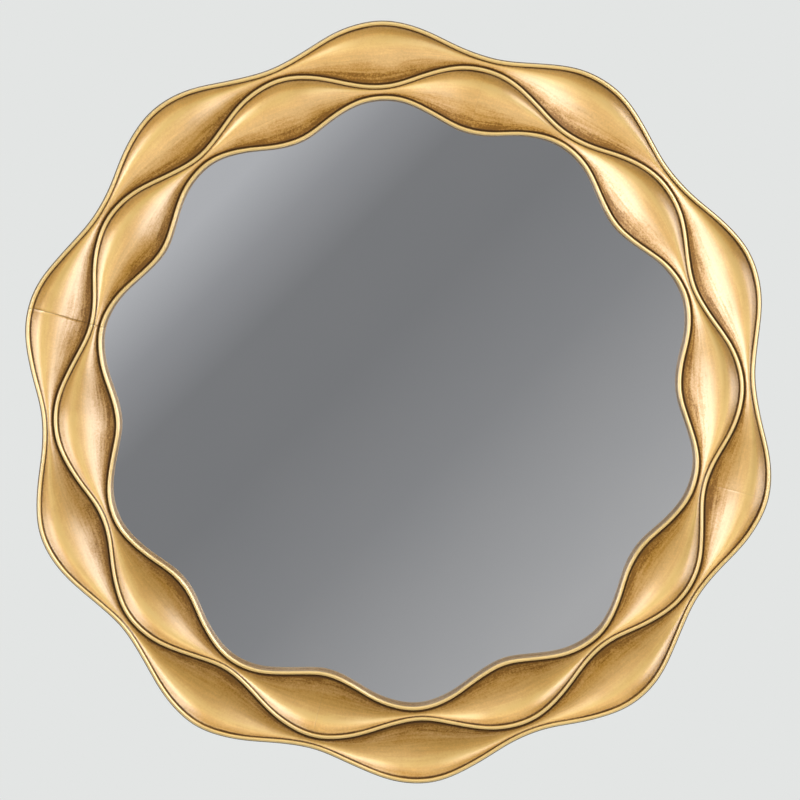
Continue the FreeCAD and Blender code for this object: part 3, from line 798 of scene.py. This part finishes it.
def make_floor():
    """A pale floor that fades into the background."""
    floor = make_sheet("floor", FLOOR_HALF, (0, 0, FLOOR_LEVEL), False)
    paint = Paint("floor", roughness=0.8)
    place = paint.place()
    reach = paint.node("VectorMath", "Value", {0: place}, operation="LENGTH")
    tone = paint.noise(place, 3)
    paint.set(
        base_color=paint.ramp(tone, (0.3, srgb(205, 207, 206)), (0.7, srgb(212, 214, 213))),
        alpha=paint.span(reach, FLOOR_FADE, FLOOR_HALF, 1.0, 0.0),
    )
    floor.data.materials.append(paint.material)


def make_card():
    """A large card in front, out of view, glowing in greys as a painted reflection that only the mirror and
    the metal show.
    """
    reach = CARD_DISTANCE / CAMERA_DISTANCE
    spot = (-CAMERA_SIDE * reach, -CARD_DISTANCE, -CAMERA_HEIGHT * reach)
    card = make_sheet("reflected_card", CARD_HALF, spot, True)
    paint = Paint("reflected_card")
    paint.tree.nodes.remove(paint.shader)
    place = paint.node("SeparateXYZ", "X", {"Vector": paint.place()}).node.outputs
    slant = paint.math("SUBTRACT", place["X"], place["Z"])
    reflected = GLASS_SLANT * (1 + reach)
    grey = paint.ramp(
        paint.span(slant, -reflected, reflected),
        (0.0, srgb(184, 185, 188)),
        (0.11, srgb(150, 151, 154)),
        (0.22, srgb(127, 128, 130)),
        (0.4, srgb(126, 127, 129)),
        (0.63, srgb(139, 140, 142)),
        (1.0, srgb(176, 176, 177)),
    )
    far = paint.math("MAXIMUM", paint.math("ABSOLUTE", place["X"]), paint.math("ABSOLUTE", place["Z"]))
    grey = paint.mix(paint.span(far, CARD_FADE_STARTS, CARD_FADE_ENDS), grey, srgb(60, 58, 55))
    glow = paint.node("Emission", "Emission", {"Color": grey, "Strength": 1.0})
    paint.tree.links.new(glow, paint.tree.nodes["Material Output"].inputs["Surface"])
    card.data.materials.append(paint.material)
    card.visible_camera = False
    card.visible_diffuse = False
    card.visible_shadow = False


def make_lamp(name, off_axis, turn, distance, size, power, colour=WHITE):
    """A soft square lamp, placed by its angle off the mirror's axis and its direction round that axis."""
    off_axis = math.radians(off_axis)
    turn = math.radians(turn)
    aside = distance * math.sin(off_axis)
    spot = (aside * math.cos(turn), -distance * math.cos(off_axis), aside * math.sin(turn))
    data = bpy.data.lights.new(name, "AREA")
    data.shape = "SQUARE"
    data.size = size
    data.energy = power
    data.color = colour
    lamp = new_object(name, data)
    lamp.location = spot
    lamp.rotation_euler = (-Vector(spot)).to_track_quat("-Z", "Y").to_euler()


def make_camera():
    data = bpy.data.cameras.new("photo")
    data.lens = CAMERA_LENS
    data.sensor_width = CAMERA_SENSOR
    data.shift_y = CAMERA_SHIFT
    camera = new_object("photo", data)
    camera.location = (CAMERA_SIDE, (GLASS_FRONT - MIDDLE_TOP) * MM - CAMERA_DISTANCE, CAMERA_HEIGHT)
    camera.rotation_euler = (math.radians(90 - CAMERA_TILT), 0, 0)
    bpy.context.scene.camera = camera


make_camera()
make_world()
make_floor()
make_card()
make_lamp("key", off_axis=42, turn=14, distance=3.6, size=2.4, power=85)
make_lamp("side", off_axis=58, turn=42, distance=3.4, size=1.8, power=34)
make_lamp("fill", off_axis=41, turn=180, distance=3.6, size=2.0, power=52)
make_lamp("top", off_axis=37, turn=106, distance=3.4, size=2.0, power=18, colour=WARM)
make_lamp("low", off_axis=34, turn=300, distance=3.4, size=1.6, power=4, colour=WARM)
make_lamp("behind", off_axis=150, turn=100, distance=3.4, size=1.5, power=14)

gold = gilded_wood()
for index in range(len(QUARTERS)):
    make_quarter(index, gold)
steel = zinc_steel()
button_angles = [BUTTON_ANGLE + TURN * index / BUTTON_COUNT for index in range(BUTTON_COUNT)]
button_spots = round_spots(BUTTON_RADIUS, button_angles)
make_screws("slotted_button_screws", button_spots, BUTTON_SCREWS, steel, "turn_button_screws")
for side, angle in (("left", math.pi - HANGER_ANGLE), ("right", HANGER_ANGLE)):
    bar_x, bar_z = round_spots(HANGER_RADIUS, [angle])[0]
    spots = [(bar_x, bar_z - row) for row in HANGER_ROWS]
    make_screws("slotted_hanger_screws_" + side, spots, HANGER_SCREWS, steel, "hanger_screws_" + side)
    dress(steel, "hanger_strap_" + side, "hanger_ring_" + side)
dress(silvered_glass(), "mirror_glass")
dress(grey_card(), "cushion_sheet")
dress(plywood(), "backing_board")
dress(beech(), "joint_dowels")
dress(brass(), *(f"turn_button_{index + 1}" for index in range(BUTTON_COUNT)))
dress(bumper_rubber(), "wall_bumper_left", "wall_bumper_right")

bpy.context.scene.view_settings.view_transform = "Standard"
